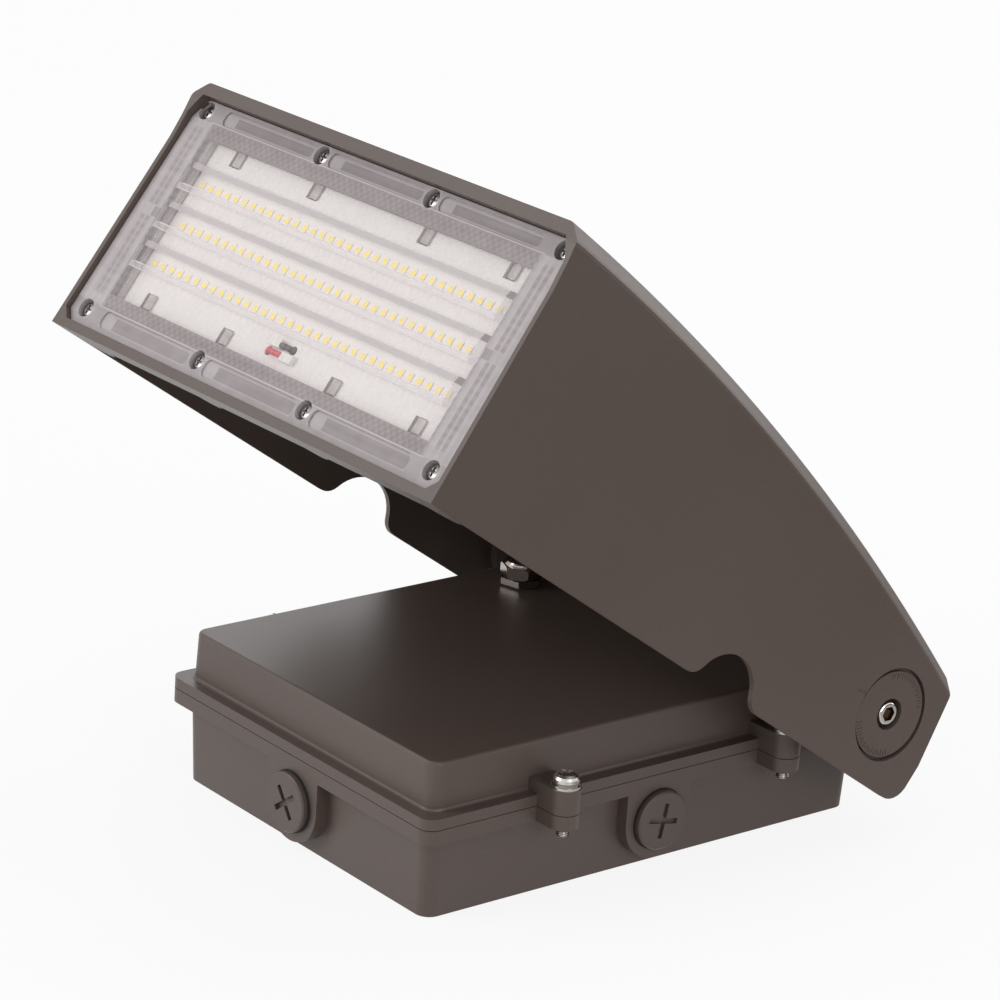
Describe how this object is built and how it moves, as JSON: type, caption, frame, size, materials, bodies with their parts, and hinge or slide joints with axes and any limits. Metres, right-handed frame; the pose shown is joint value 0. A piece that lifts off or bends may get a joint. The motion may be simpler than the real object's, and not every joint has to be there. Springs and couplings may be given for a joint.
{
  "type": "wall pack light",
  "caption": "Wall-mounted outdoor light: a square back box with a screwed cover and a deep tapered hood that tilts on two graduated pivots, with rows of lamps behind a clear lens.",
  "frame": {"origin": "middle of the box face that lies on the wall, on the axis of the wire hole", "axes": "+X along the pivot line, +Y up the wall towards the pivots, +Z out of the wall"},
  "size_m": [0.2368, 0.274, 0.2696],
  "materials": {
    "bronze_paint": "satin",
    "stainless": "satin",
    "nickel": "satin",
    "black_rubber": "matte",
    "grey_silicone": "matte",
    "clear_lens": "gloss",
    "white_board": "matte",
    "lamp_phosphor": "satin",
    "white_plastic": "matte",
    "driver_paint": "satin",
    "black_plastic": "matte",
    "green_steel": "satin",
    "red_sleeve": "satin",
    "black_sleeve": "satin"
  },
  "bodies": {
    "base": {"back_box": "bronze_paint", "box_gasket": "black_rubber", "box_cover": "bronze_paint", "cover_screws": "stainless", "cover_washers": "stainless", "cover_lock_washers": "stainless", "conduit_plugs": "bronze_paint", "plug_rings": "black_rubber", "gland_body": "nickel", "gland_nut": "nickel", "gland_seal": "black_rubber", "gland_washer": "black_rubber", "gland_locknut": "nickel", "dial_discs": "bronze_paint", "pivot_screws": "stainless", "friction_washers": "stainless", "driver_case": "driver_paint", "inner_screws": "stainless", "surge_protector": "black_plastic", "terminal_block": "white_plastic", "ground_screw": "green_steel"},
    "head": {"hood": "bronze_paint", "lens": "clear_lens", "lens_seal": "grey_silicone", "lens_screws": "stainless", "lamp_board": "white_board", "lamp_chips": "lamp_phosphor", "board_clips": "white_plastic", "lead_terminals": "white_plastic", "red_lead": "red_sleeve", "black_lead": "black_sleeve"}
  },
  "joints": [
    {"name": "head_tilt", "type": "hinge", "parent": "base", "child": "head", "pos_m": [0, 0.0903, 0.0535], "axis": [-1, 0, 0], "range_deg": [-34.21, 50.79]}
  ]
}
